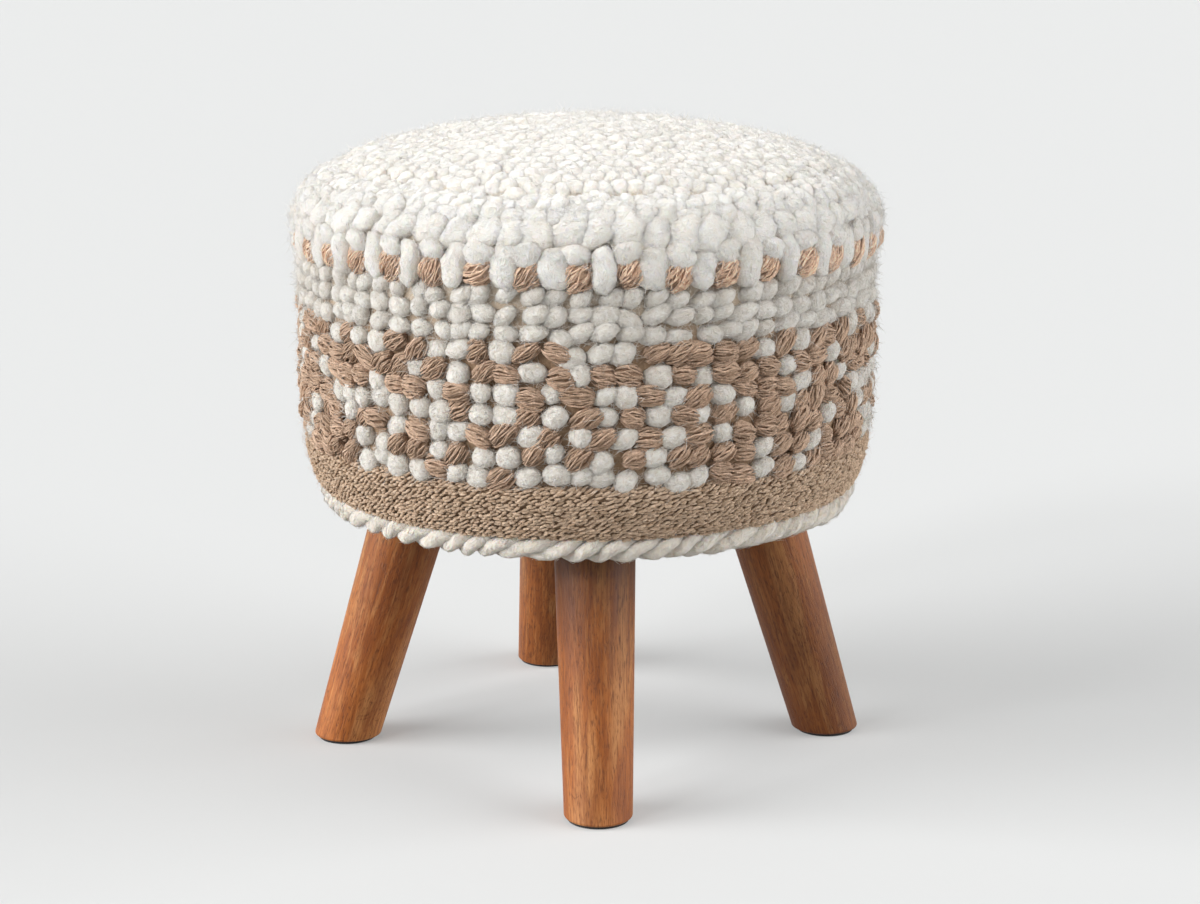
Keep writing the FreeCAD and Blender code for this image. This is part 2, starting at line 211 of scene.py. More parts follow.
# Board and fixings
# A birch plywood disc carries the filling; the legs' hanger bolts screw into flanged insert nuts in it.
# The cover and the dust cover are held to its underside by galvanised staples.
BIRCH_TONES = ((0.62, 0.44, 0.26, 1), (0.76, 0.6, 0.4, 1))
GLUE_LINE = (0.5, 0.33, 0.18, 1)
ZINC_TONES = ((0.5, 0.5, 0.49, 1), (0.68, 0.68, 0.66, 1))


def plywood():
    """Pale birch plies: layers across the edge, long grain on the faces."""
    material, tree, shader = new_material("plywood")
    place = add(tree, "TexCoord").outputs["Object"]
    along = add(tree, "Mapping", Vector=place, Scale=(9, 160, 160)).outputs[0]
    face = ramp(tree, noise(tree, along, 1.0, 5.0), *zip((0.3, 0.7), BIRCH_TONES))
    plies = add(tree, "TexWave", bands_direction="Z", Vector=place, Scale=110.0).outputs["Fac"]
    fill(shader, Base_Color=mixed(tree, plies, face, GLUE_LINE), Roughness=0.7)
    return material


def bright_zinc():
    """Zinc-plated steel with a faint, cloudy bloom."""
    material, tree, shader = new_material("bright_zinc")
    bloom = noise(tree, add(tree, "TexCoord").outputs["Object"], 400.0, 4.0)
    colour = ramp(tree, bloom, *zip((0.3, 0.7), ZINC_TONES))
    fill(shader, Base_Color=colour, Metallic=1.0, Roughness=ramp(tree, bloom, (0.3, 0.3), (0.7, 0.5)))
    return material


paint("base_board", plywood())
zinc = bright_zinc()
for name in ("hanger_bolts", "insert_nuts", "cover_staples", "dust_cover_staples"):
    paint(name, zinc)


# Filling
# A firm foam block on the board, a softer domed pad on it, and wadding round both.
# All of it is closed in by the cover, and only its solids stand for it.


def filling(name, dark, pale, scale):
    """Foam cells or tangled wadding: a fine, soft mottle."""
    material, tree, shader = new_material(name)
    cells = add(tree, "TexVoronoi", Vector=add(tree, "TexCoord").outputs["Object"], Scale=scale)
    fill(shader, Base_Color=ramp(tree, cells.outputs["Distance"], (0.1, dark), (0.6, pale)), Roughness=1.0)
    return material


foam = filling("foam", (0.66, 0.58, 0.36, 1), (0.84, 0.78, 0.58, 1), 900.0)
paint("foam_block", foam)
paint("crown_pad", foam)
paint("wadding_wrap", filling("wadding", (0.78, 0.78, 0.76, 1), (0.9, 0.9, 0.88, 1), 500.0))


# Ground of the cover
# The cover's base cloth, drawn tight over the filling and turned under the board.
# It is cut a little small, and a cloth simulation swells it between its seams: the rim, the foot of
# the beads and the hem. Every stitch further down is set on it.
ROW_RELIEF = 0.003
SHOULDER_RADIUS = 0.032
TUCK_HEIGHT = 0.084
HEM_INSET = 0.027
FOLD_RADIUS = 0.15
FOLD_LIFT = 0.0005
BEAD_DEPTH = 0.0088
BAND_DEPTH = 0.0042
DEPTH_STEP = 0.004
GROUND_THICKNESS = 0.0025
SWELL_CAP = 0.0022
SWELL_PRESSURE = 4.0
SWELL_FRAMES = 20
STATIONS = 80
AROUND = 156
SAME_LEVEL = 0.0001
SIDE_MARGIN = 0.012
TAN_HEIGHT = 0.078
CREAM_HEIGHT = 0.006
# The cloth is tan and cream, and both colours are darker than their yarns: a painted shade for the gaps
# between stitches.
SHADED_GROUND_TAN = ((0.26, 0.17, 0.105, 1), (0.42, 0.29, 0.19, 1))
SHADED_GROUND_CREAM = ((0.76, 0.67, 0.54, 1), (0.87, 0.79, 0.67, 1))

SEAT_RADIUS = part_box("cover_side_band")[1].x
RIM_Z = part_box("cover_top_panel")[0].z
CROWN_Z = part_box("cover_top_panel")[1].z
BEADS_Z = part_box("cover_side_band")[0].z
FOLD_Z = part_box("cover_lower_band")[0].z
HEM_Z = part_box("hem_braid")[0].z


def seat_line(count):
    """Half section of the ground, from the middle of the crown to the turned edge under the board.

    A crown arc runs tangent into a shoulder arc, then an upright side, then a quarter ellipse to the
    hem, and a level turn-under. It lies BEAD_DEPTH inside the row crests, and BAND_DEPTH below the
    beads. Each stretch is drawn with 12 to 60 points; returns radii and heights at count even steps.
    """
    inset = BEAD_DEPTH - ROW_RELIEF
    reach = SEAT_RADIUS - ROW_RELIEF - SHOULDER_RADIUS
    rise = CROWN_Z - RIM_Z
    crown = (reach**2 + rise**2 - SHOULDER_RADIUS**2) / (2 * (rise - SHOULDER_RADIUS))
    join = math.asin(reach / (crown - SHOULDER_RADIUS))
    over = np.linspace(0, join, 60)
    down = np.linspace(join, math.pi / 2, 40)[1:]
    upright = np.linspace(RIM_Z, HEM_Z + TUCK_HEIGHT, 40)[1:]
    tuck = np.linspace(HEM_Z + TUCK_HEIGHT, FOLD_Z + FOLD_LIFT, 60)[1:]
    drop = (HEM_Z + TUCK_HEIGHT - tuck) / TUCK_HEIGHT
    depth = np.interp(tuck, [BEADS_Z - DEPTH_STEP, BEADS_Z], [BAND_DEPTH, BEAD_DEPTH])
    tuck_radius = SEAT_RADIUS - depth - HEM_INSET * (1 - np.sqrt(1 - drop**2))
    under = np.linspace(tuck_radius[-1], FOLD_RADIUS, 12)[1:]
    radius = np.concatenate([
        (crown - inset) * np.sin(over),
        reach + (SHOULDER_RADIUS - inset) * np.sin(down),
        np.full(upright.shape, SEAT_RADIUS - BEAD_DEPTH),
        tuck_radius,
        under,
    ])
    height = np.concatenate([
        CROWN_Z - crown + (crown - inset) * np.cos(over),
        RIM_Z + (SHOULDER_RADIUS - inset) * np.cos(down),
        upright,
        tuck,
        np.full(under.shape, tuck[-1]),
    ])
    run = np.concatenate([[0], np.cumsum(np.hypot(np.diff(radius), np.diff(height)))])
    even = np.linspace(0, run[-1], count)
    return np.interp(even, run, radius), np.interp(even, run, height)


def make_mesh(name, points, faces, uv=None, shade=None):
    """A smooth mesh object from point and face arrays, with optional per-point UVs and a shade attribute.

    faces is a list of integer arrays, one for each number of corners.
    """
    mesh = bpy.data.meshes.new(name)
    corners = np.concatenate([part.ravel() for part in faces])
    sizes = np.concatenate([np.full(len(part), part.shape[1]) for part in faces])
    mesh.vertices.add(len(points))
    mesh.vertices.foreach_set("co", np.ascontiguousarray(points, np.float32).ravel())
    mesh.loops.add(len(corners))
    mesh.loops.foreach_set("vertex_index", corners.astype(np.int32))
    mesh.polygons.add(len(sizes))
    mesh.polygons.foreach_set("loop_start", (np.cumsum(sizes) - sizes).astype(np.int32))
    mesh.polygons.foreach_set("use_smooth", np.ones(len(sizes), bool))
    if uv is not None:
        layer = mesh.uv_layers.new(name="yarn")
        layer.data.foreach_set("uv", np.ascontiguousarray(uv[corners], np.float32).ravel())
    if shade is not None:
        tone = mesh.attributes.new("shade", "FLOAT", "POINT")
        tone.data.foreach_set("value", np.ascontiguousarray(shade, np.float32))
    mesh.update(calc_edges=True)
    piece = bpy.data.objects.new(name, mesh)
    bpy.context.scene.collection.objects.link(piece)
    return piece


def ring_quads(rows, columns, first=0):
    """Quads of a grid of rings, closed round each ring; corner order points away from the axis."""
    row, column = np.meshgrid(np.arange(rows - 1), np.arange(columns), indexing="ij")
    right = (column + 1) % columns
    quads = np.stack([row * columns + column, (row + 1) * columns + column, (row + 1) * columns + right,
                      row * columns + right], -1)
    return quads.reshape(-1, 4) + first


def domed_mesh(name, grid, downwards=False):
    """A mesh from rings of points, the first ring a single point; its faces look up, or downwards."""
    rings, columns = grid.shape[:2]
    step = np.arange(columns)
    fan = np.stack([np.zeros(columns, int), 1 + step, 1 + (step + 1) % columns], -1)
    faces = [fan, ring_quads(rings - 1, columns, 1)]
    if downwards:
        faces = [part[:, ::-1] for part in faces]
    return make_mesh(name, np.concatenate([grid[0, :1], grid[1:].reshape(-1, 3)]), faces)


ground_radius, ground_height = seat_line(STATIONS)
TURNED_UNDER = int(np.sum(ground_height <= ground_height.min() + SAME_LEVEL))
turn = np.arange(AROUND) / AROUND * 2 * math.pi
ground = domed_mesh("cover_ground", np.stack([
    np.outer(ground_radius, np.cos(turn)),
    np.outer(ground_radius, np.sin(turn)),
    np.repeat(ground_height[:, None], AROUND, 1),
], -1))


def swell(piece, seams, cap):
    """Swells a cloth piece by pressure between its seams, each point by cap at most."""
    group = piece.vertex_groups.new(name="seams")
    group.add([int(index) for index in seams], 1.0, "REPLACE")
    cloth = piece.modifiers.new("swell", "CLOTH")
    cloth.settings.vertex_group_mass = "seams"
    cloth.settings.use_pressure = True
    cloth.settings.uniform_pressure_force = SWELL_PRESSURE
    cloth.settings.effector_weights.gravity = 0.0
    start = np.empty(len(piece.data.vertices) * 3, np.float32)
    piece.data.vertices.foreach_get("co", start)
    for step in range(1, SWELL_FRAMES + 1):
        bpy.context.scene.frame_set(step)
    swollen = np.empty_like(start)
    view = piece.evaluated_get(bpy.context.evaluated_depsgraph_get())
    view.data.vertices.foreach_get("co", swollen)
    piece.modifiers.remove(cloth)
    bpy.context.scene.frame_set(1)
    move = (swollen - start).reshape(-1, 3)
    reach = np.linalg.norm(move, axis=1, keepdims=True)
    move *= np.minimum(1.0, cap / np.maximum(reach, 1e-9))
    placed = start.reshape(-1, 3) + move
    piece.data.vertices.foreach_set("co", placed.ravel())
    piece.data.update()
    return placed


def side_station(height):
    """Station on the side or tuck at a height, with fractions."""
    first = int(np.argmax(ground_height < RIM_Z + SIDE_MARGIN))
    last = STATIONS - TURNED_UNDER + 1
    return np.interp(-np.asarray(height), -ground_height[first:last], np.arange(first, last))


seam_rows = [round(float(side_station(RIM_Z))), round(float(side_station(BEADS_Z)))]
seam_rows += range(STATIONS - TURNED_UNDER - 1, STATIONS)
seam_points = np.concatenate([1 + (row - 1) * AROUND + np.arange(AROUND) for row in seam_rows])
settled = swell(ground, seam_points, SWELL_CAP)
GROUND = np.concatenate([np.repeat(settled[:1], AROUND, 0), settled[1:]]).reshape(STATIONS, AROUND, 3)


def unit(vectors):
    """Vectors of the same directions and a length of one."""
    return vectors / np.linalg.norm(vectors, axis=-1, keepdims=True)


def ground_frames():
    """Unit vectors of the settled ground: along the turn, up the section and outwards."""
    along = np.roll(GROUND, -1, 1) - np.roll(GROUND, 1, 1)
    along[0] = along[1]
    along = unit(along)
    out = unit(np.cross(along, -np.gradient(GROUND, axis=0)))
    return along, np.cross(out, along), out


FRAMES = ground_frames()


def on_ground(station, angle):
    """Place and unit vectors on the ground, by linear steps between its points.

    station counts the section's points from the crown, and angle is in radians about the axis.
    """
    column = np.mod(angle / (2 * math.pi), 1.0) * AROUND
    row = np.clip(station, 0, STATIONS - 1.001)
    low, left = row.astype(int), column.astype(int)
    down, across = (row - low)[..., None], (column - left)[..., None]
    right = (left + 1) % AROUND

    def blend(field):
        """A field between its four nearest points."""
        above = field[low, left % AROUND] * (1 - across) + field[low, right] * across
        below = field[low + 1, left % AROUND] * (1 - across) + field[low + 1, right] * across
        return above * (1 - down) + below * down

    return (blend(GROUND), *[unit(blend(field)) for field in FRAMES])


def ground_cloth():
    """The base cloth between the stitches: brown below the plain rows, cream above, with a tight weave."""
    material, tree, shader = new_material("ground_cloth")
    place = add(tree, "TexCoord").outputs["Object"]
    height = add(tree, "SeparateXYZ", Vector=place).outputs["Z"]
    level = add(tree, "MapRange", interpolation_type="SMOOTHSTEP", Value=height,
                From_Min=BEADS_Z + TAN_HEIGHT, From_Max=RIM_Z + CREAM_HEIGHT).outputs[0]
    weave = noise(tree, place, 700.0, 4.0)
    # Painted shade: the cloth's tan and cream are darkened for the gaps between stitches.
    tan, cream = [ramp(tree, weave, *zip((0.3, 0.7), tones)) for tones in (SHADED_GROUND_TAN, SHADED_GROUND_CREAM)]
    bump = add(tree, "Bump", Height=weave, Strength=0.6, Distance=0.001).outputs[0]
    fill(shader, Base_Color=mixed(tree, level, tan, cream), Roughness=0.95, Normal=bump)
    return material


ground.data.materials.append(ground_cloth())
thickness = ground.modifiers.new("thickness", "SOLIDIFY")
thickness.thickness = GROUND_THICKNESS
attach(ground, "root")
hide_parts("cover_top_panel", "cover_side_band", "cover_lower_band")


# Side beads
# Ten rows of stitches worked through the ground: three plain rows of cream, then a chart of cream and tan.
# Cream is a soft, felted roving that swells into beads; tan is a yarn plied from thin strands.
chance = np.random.default_rng(41)
COLUMNS = 78
CHART = (
    "oxooxxooxoxxoooxxxxxoxoxxx",
    "xxxxxoxoxxoxoxxoxoxxxoxxox",
    "xxxoxxoxooxoxooxoxoxxxoxxo",
    "oooooooxooxoxoxoxoxoxoxxxx",
    "xoxxoxooxxoxoxoxoxoxxxxxox",
    "xxooxxoxooxoxoxoxxxxoxxoxx",
    "xxooooxooxooooooooxxoxoxxx",
)
CHART_MIDDLE = 12.3
VIEW_TURN = math.radians(-2.7)
PATTERN_ROW = 0.0131
PLAIN_ROWS = 3
PLAIN_ROW = 0.0115
ROW_TILTS = np.radians([15] * len(CHART) + [11, 14, 34])
ROW_DRIFT = 0.0008
STRAY, LOWEST_STRAY = 0.0012, 0.0024
BEAD_HALF_LENGTH = 0.0094
PLAIN_HALF_LENGTH = 0.0104
BEAD_FULLNESS = 1.14
BEAD_BULGE = 0.0056
BEAD_LIFT = 0.0015
TAN_LEANS = (math.radians(-16), math.radians(26))
CREAM = (0.97, 0.955, 0.925)
CREAM_SHADE = (0.78, 0.73, 0.66)
TAN = (0.8, 0.585, 0.44)
TAN_SHADE = (0.42, 0.275, 0.185)


def near(value, spread, count):
    """Count values that stray from one by chance, with a spread."""
    return value + chance.normal(0, spread, count)


def varied(size, spread, count):
    """Count copies of a size in three directions, each of them varied by a share."""
    return np.array(size) * (1 + chance.normal(0, spread, (count, 3)))


def puff_grid(rings, round_count):
    """A closed puff on a grid: rings from one end to the other and two end points.

    Returns the run along the yarn from -1 to 1, the angle round it, UVs and the faces.
    """
    lat = np.linspace(0, math.pi, rings + 2)[1:-1]
    lon = np.arange(round_count) / round_count * 2 * math.pi
    run = np.concatenate([[-1.0], np.repeat(-np.cos(lat), round_count), [1.0]])
    angle = np.concatenate([[0.0], np.tile(lon, rings), [0.0]])
    uv = np.stack([run * 0.5 + 0.5, np.abs(angle / math.pi - 1)], -1)
    step = np.arange(round_count)
    beyond = (step + 1) % round_count
    last = 1 + (rings - 1) * round_count
    start = np.stack([np.zeros_like(step), 1 + beyond, 1 + step], -1)
    end = np.stack([np.full_like(step, last + round_count), last + step, last + beyond], -1)
    body = ring_quads(rings, round_count, 1)[:, ::-1]
    return run, angle, uv, [body, np.concatenate([start, end])]


def copies_mesh(name, points, uv, faces, tone):
    """One mesh of many copies of a shape, whose UVs and faces are given once.

    tone is the shade of each copy, or of each point.
    """
    copies = len(points) // len(uv)
    offsets = np.arange(copies)[:, None, None] * len(uv)
    faces = [(part[None] + offsets).reshape(-1, part.shape[1]) for part in faces]
    return make_mesh(name, points, faces, np.tile(uv, (copies, 1)), np.repeat(tone, len(points) // len(tone)))


def lay(place, frames, tilt, a, b, c):
    """Points from steps on the ground: a along the yarn, b across it and c outwards.

    a and b are turned by tilt in the surface.
    """
    wide = (len(place),) + (1,) * (a.ndim - 1)
    cos, sin = np.cos(tilt).reshape(wide), np.sin(tilt).reshape(wide)
    x, y = a * cos - b * sin, a * sin + b * cos
    origin, along, up, out = [field.reshape(wide + (3,)) for field in (place, *frames)]
    return (origin + x[..., None] * along + y[..., None] * up + c[..., None] * out).reshape(-1, 3)


def set_puffs(name, place, frames, size, lift, tilt, shade, rings=6, round_count=9, tuck=0.3, lump=0.05,
              point=0.5, hollow_shading=0.35):
    """Puffs of yarn as one mesh, each an uneven ellipsoid set on the ground.

    size is half the length along the yarn, half the height and half the depth; tilt turns the yarn in
    the surface, lift raises its middle, tuck sinks its start, and lump is how uneven it is. The girth is
    (1 - run^2)^point, so a point over one half draws its ends out. The shade falls by hollow_shading
    from the crest to the foot: a painted shade for the hollows between stitches.
    """
    count = len(place)
    run, angle, uv, faces = puff_grid(rings, round_count)
    girth = np.clip(1 - run**2, 0, 1) ** point
    waves = chance.uniform(0, 2 * math.pi, (count, 3, 1))
    uneven = 1 + lump * (np.sin(2 * angle + waves[:, 0]) + np.sin(3 * run + angle + waves[:, 1])
                         + 0.6 * np.sin(5 * run - 2 * angle + waves[:, 2]))
    uneven = uneven + 0.6 * lump * chance.normal(0, 1, uneven.shape)
    a = size[:, 0, None] * run * (1 + 0.4 * (uneven - 1))
    b = size[:, 1, None] * girth * np.cos(angle) * uneven
    sunk = tuck * (0.5 - 0.5 * run) ** 2
    c = size[:, 2, None] * (girth * np.sin(angle) * uneven - sunk) + lift[:, None]
    foot = 1 - np.clip(girth * np.sin(angle), 0, 1)
    # Painted shade: the tone falls towards each puff's foot, in the hollows between stitches.
    tone = np.outer(shade, 1 - hollow_shading * foot**2).ravel()
    return copies_mesh(name, lay(place, frames, tilt, a, b, c), uv, faces, tone)


def set_fuzz(name, place, frames, size, lift, tilt, shade, each, tuck=0.3, point=0.5, length=0.006,
             width=0.00015):
    """Short fibres that stand off puffs of the same sizes, each of them to a puff, as one mesh.

    A fibre is a three-sided spindle with one bend. It starts at a random spot of the puff's outer side,
    runs along the yarn or slants across it, rises from the surface and curls back at its tip.
    """
    count = len(place)
    run, angle, uv, faces = puff_grid(1, 3)
    spot, start, reach = chance.random((3, count, each))
    s = 1.9 * (spot - 0.5)
    around = math.radians(-15) + math.radians(210) * start
    girth = np.clip(1 - s**2, 0, 1) ** point
    across, outwards = girth * np.cos(around), girth * np.sin(around)
    half_length, half_height, half_depth = [size[:, k, None] for k in range(3)]
    depth = outwards - tuck * (0.5 - 0.5 * s) ** 2
    root = np.stack([half_length * s, half_height * across, half_depth * depth + lift[:, None]], -1)
    normal = unit(np.stack([s / half_length, across / half_height, outwards / half_depth], -1))
    backwards = np.where(chance.random((count, each)) < 0.5, 0, math.pi)
    heading = near(backwards, 0.8, (count, each))
    way = np.stack([np.cos(heading), np.sin(heading), np.zeros_like(heading)], -1)
    way -= normal * np.sum(way * normal, -1, keepdims=True)
    way += normal * np.abs(chance.normal(0, 0.36, (count, each, 1)))
    curl = 0.4 * chance.normal(0, 1, (count, each, 3)) - 0.2 * normal
    side = unit(np.cross(way, chance.normal(0, 1, (count, each, 3))))
    other = np.cross(way, side)
    long = (length * (0.5 + reach))[..., None, None]
    t = (0.5 + 0.5 * run)[:, None]
    points = root[..., None, :] + long * (way[..., None, :] * (t - 0.15) + curl[..., None, :] * t**2)
    thick = (width * (1 - np.abs(run)))[:, None]
    cos, sin = np.cos(angle)[:, None], np.sin(angle)[:, None]
    points = points + thick * (cos * side[..., None, :] + sin * other[..., None, :])
    foot = 1 - np.clip(outwards, 0, 1)
    # Painted shade: fibres rooted low on the puff are darker, as in the hollows between stitches.
    tone = (shade[:, None] * (1 - 0.3 * foot**2)).ravel() * (1.0 + 0.1 * chance.normal(0, 1, count * each))
    return copies_mesh(name, lay(place, frames, tilt, *np.moveaxis(points, -1, 0)), uv, faces, tone)


def set_plies(name, place, frames, size, lift, tilt, shade, strands=25, width=0.0007, twist=-0.5):
    """Plied stitches as one mesh: thin strands that wind round the outer side of a puff.

    Strand k starts at its own angle round the puff and turns by twist on its way to either end, where
    all strands draw together and sink.
    """
    count = len(place)
    run, angle, uv, faces = puff_grid(4, 3)
    wander = chance.normal(0, 1, (count, strands, 4))
    first = np.linspace(math.radians(-25), math.radians(205), strands) + 0.09 * wander[..., 0]
    bend = 0.16 * np.sin(4 * run + 2 * wander[..., 2, None])
    turn = first[..., None] + (twist + 0.2 * wander[..., 1, None]) * run + bend
    girth = np.clip(1 - 0.86 * np.abs(run) ** 2.6, 0, 1) ** 0.5
    bulk = girth * (1 + 0.07 * wander[..., 3, None])
    thick = width * (1 + 0.16 * wander[..., 2, None]) * np.clip(1 - run**4, 0, 1) ** 0.5
    a = size[:, 0, None, None] * run * (1 + 0.05 * wander[..., 0, None])
    b = size[:, 1, None, None] * bulk * np.cos(turn) + thick * np.cos(angle)
    c = size[:, 2, None, None] * bulk * np.sin(turn) + thick * np.sin(angle) + lift[:, None, None]
    tone = np.repeat(shade, strands) * (1 + 0.22 * chance.normal(0, 1, count * strands))
    return copies_mesh(name, lay(place, frames, tilt, a, b, c), uv, faces, tone)


def wool(name, colour, shadow, glow, fibre=(2, 22), strength=0.4, sheen=0.8, hollow_shading=0.55, tuft=0.6):
    """Wool yarn: pale fibres over a darker body, a shade for each stitch, and a soft sheen.

    The fibres are contour lines of noise, some drawn out along the yarn by its UVs and some curled at
    random; the darker body between them and in the low parts of the tufts is a painted shade. glow is
    how much light passes through, fibre how fine the fibres are along the yarn and round it, and
    strength their relief. The shade attribute mixes the body towards a warm, dark colour: a painted
    shade for the hollows between stitches, and hollow_shading is how pale that colour is. tuft is how
    cottony the relief is.
    """
    material, tree, shader = new_material(name)
    place = add(tree, "TexCoord").outputs
    fibre_place = add(tree, "Mapping", Vector=place["UV"], Scale=(*fibre, 1)).outputs[0]
    spot = add(tree, "VectorMath", place["Object"], operation="SCALE", Scale=130.0).outputs[0]
    grain_place = add(tree, "VectorMath", fibre_place, spot, operation="ADD").outputs[0]
    drawn = noise(tree, grain_place, 1.0, 4.0, Roughness=0.6)
    curled = noise(tree, place["Object"], 300.0, 2.0, Distortion=2.0)
    tufts = noise(tree, place["Object"], 300.0, 3.0, Distortion=0.6)
    drawn_lines = ramp(tree, drawn, (0.4, 0.0), (0.5, 1.0), (0.6, 0.0))
    curled_lines = ramp(tree, curled, (0.4, 0.0), (0.5, 0.8), (0.6, 0.0))
    lines = mixed(tree, 1.0, drawn_lines, curled_lines, "SCREEN")
    tuft_tone = ramp(tree, tufts, (0.36, 0.0), (0.62, 1.0))
    body = mixed(tree, mixed(tree, 0.5, lines, tuft_tone), (*shadow, 1), (*colour, 1))
    # Painted shade: a warm, dark colour for the hollows between stitches, mixed in by the shade attribute.
    deep = tuple(hollow_shading * part * warm for part, warm in zip(shadow, (1.0, 0.82, 0.62)))
    shade = add(tree, "Attribute", attribute_name="shade").outputs["Fac"]
    toned = mixed(tree, shade, (*deep, 1), body)
    toned.node.clamp_factor = False
    swollen = add(tree, "Bump", Height=tufts, Strength=tuft, Distance=0.003).outputs[0]
    bump = add(tree, "Bump", Height=lines, Normal=swollen, Strength=strength, Distance=0.0008).outputs[0]
    fill(shader, Base_Color=toned, Roughness=0.92, Diffuse_Roughness=1.0, Specular_IOR_Level=0.2, Normal=bump)
    fill(shader, Sheen_Weight=sheen, Sheen_Roughness=0.5, Sheen_Tint=(*colour, 1))
    fill(shader, Subsurface_Weight=glow, Subsurface_Radius=(1.0, 0.7, 0.45), Subsurface_Scale=0.005)
    return material


def finish_piece(piece, finish):
    """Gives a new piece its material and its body."""
    piece.data.materials.append(finish)
    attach(piece, "root")


def stitch_grid(rows, columns):
    """Row and column number of every stitch."""
    return [grid.ravel() for grid in np.meshgrid(np.arange(rows), np.arange(columns), indexing="ij")]


cream_wool = wool("cream_wool", CREAM, CREAM_SHADE, 0.12, strength=0.6)
cream_fuzz = wool("cream_fuzz", CREAM, CREAM_SHADE, 0.2)
tan_wool = wool("tan_wool", TAN, TAN_SHADE, 0.1, fibre=(3, 5), strength=0.5, sheen=0.9)

levels = np.concatenate([
    BEADS_Z + (np.arange(len(CHART)) + 0.5) * PATTERN_ROW,
    BEADS_Z + len(CHART) * PATTERN_ROW + (np.arange(PLAIN_ROWS) + 0.5) * PLAIN_ROW,
])
chart = np.array([[mark == "o" for mark in line] for line in CHART[::-1]])
chart = np.tile(chart, (1, COLUMNS // chart.shape[1]))
chart = np.concatenate([chart, np.ones((PLAIN_ROWS, COLUMNS), bool)])
row, column = stitch_grid(len(levels), COLUMNS)
is_cream = chart.ravel()
plain = row >= len(CHART)
pitch = 2 * math.pi / COLUMNS


def column_angle(column):
    """Angle about the axis of a bead column; the chart's middle faces the front."""
    return VIEW_TURN - math.pi / 2 + (column - CHART_MIDDLE) * pitch


def drift(angle, size):
    """How far a hand-worked row wanders up and down round the seat: a sum of three sine waves."""
    return size * (np.sin(3 * angle + 1.1) + 0.7 * np.sin(7 * angle + 0.4) + 0.5 * np.sin(13 * angle + 2.0))


bead_angle = column_angle(column) + chance.normal(0, 0.13, row.size) * pitch + 0.12 * pitch * (row % 2)
bead_stray = chance.normal(0, 1, row.size) * np.where(row == 0, LOWEST_STRAY, STRAY)
bead_level = levels[row] + drift(bead_angle, ROW_DRIFT) + bead_stray
bead_place, *bead_frames = on_ground(side_station(bead_level), bead_angle)
half_row = np.where(plain, PLAIN_ROW, PATTERN_ROW) / 2
half_length = np.where(plain, PLAIN_HALF_LENGTH, BEAD_HALF_LENGTH)
bead_size = np.stack([half_length, half_row * BEAD_FULLNESS, np.full(row.size, BEAD_BULGE)], -1)
bead_size = varied(bead_size, 0.1, row.size)
bead_tilt = near(ROW_TILTS[row], 0.22, row.size)
bead_lift = near(BEAD_LIFT, 0.0005, row.size)
bead_tone = near(1, 0.03, row.size)


def cream_stitches(name, chosen, tuck, point, each):
    """The chosen stitches as cream puffs with their fluff."""
    frames = [field[chosen] for field in bead_frames]
    laid = [bead_place[chosen], frames]
    laid += [field[chosen] for field in (bead_size, bead_lift, bead_tilt, bead_tone)]
    finish_piece(set_puffs(name, *laid, 6, 10, tuck, point=point), cream_wool)
    finish_piece(set_fuzz(name + "_fuzz", *laid, each, tuck, point), cream_fuzz)


cream_stitches("plain_beads", plain, 0.75, 0.6, 100)
cream_stitches("cream_beads", is_cream & ~plain, 0.3, 0.52, 100)
tan = ~is_cream
tan_place = [bead_place[tan], [field[tan] for field in bead_frames]]
lean = near(np.where(chance.random(tan.sum()) < 0.5, *TAN_LEANS), 0.15, tan.sum())
tan_beads = set_plies("tan_beads", *tan_place, bead_size[tan] * (1.04, 0.9, 0.9), bead_lift[tan], lean,
                      bead_tone[tan])
finish_piece(tan_beads, tan_wool)
# The cores sit under the strands at half the tone: a painted shade for the gaps between the strands.
tan_cores = set_puffs("tan_bead_cores", *tan_place, bead_size[tan] * (0.95, 0.85, 0.8), bead_lift[tan], lean,
                      0.5 * bead_tone[tan], rings=4, round_count=7)
finish_piece(tan_cores, tan_wool)


# Loop row
# One tall row under the rim: upright cream loops, and between them a short cream loop over a tan one.
# The cream loops are loose roving and the tan ones plied yarn, all pulled through the ground.
LOOP_ROW = RIM_Z - (levels[-1] + PLAIN_ROW / 2)
UPRIGHT = math.radians(84)
TALL_LOOP = (0.0145, 0.0092, 0.0056)
CAP_LOOP = (0.0078, 0.0106, 0.0058)
TAN_LOOP = (0.0108, 0.0096, 0.0058)
TAN_LOOP_LEAN = math.radians(34)
CREAM_LOOP_LIFT = 0.0044
TAN_LOOP_LIFT = 0.003
PALE = (0.98, 0.97, 0.95)
PALE_SHADE = (0.91, 0.875, 0.82)
FLUFF_SHADE = (0.95, 0.93, 0.895)
pale_wool = wool("pale_wool", PALE, PALE_SHADE, 0.25, strength=0.6, hollow_shading=0.75)
pale_fuzz = wool("pale_fuzz", PALE, FLUFF_SHADE, 0.5, hollow_shading=0.85)
pairs = np.arange(COLUMNS // 2)


def loop_ring(columns, level):
    """Places and unit vectors of one ring of loops at a level, a little out of line."""
    angle = column_angle(columns) + chance.normal(0, 0.05, len(columns)) * pitch
    wander = near(drift(angle, 0.0006), 0.0006, len(columns))
    return on_ground(side_station(level + wander), angle)


def cream_loops(name, columns, level, size):
    """A ring of upright cream loops, the yarn running up the side."""
    total = len(columns)
    spot, *axes = loop_ring(columns, level)
    laid = [spot, axes, varied(size, 0.07, total), near(CREAM_LOOP_LIFT, 0.0004, total),
            near(UPRIGHT, 0.1, total), near(1, 0.03, total)]
    finish_piece(set_puffs(name, *laid, 9, 12, 0.15, 0.1, 0.35), pale_wool)
    finish_piece(set_fuzz(name + "_fuzz", *laid, 150, 0.15, 0.35, 0.005), pale_fuzz)


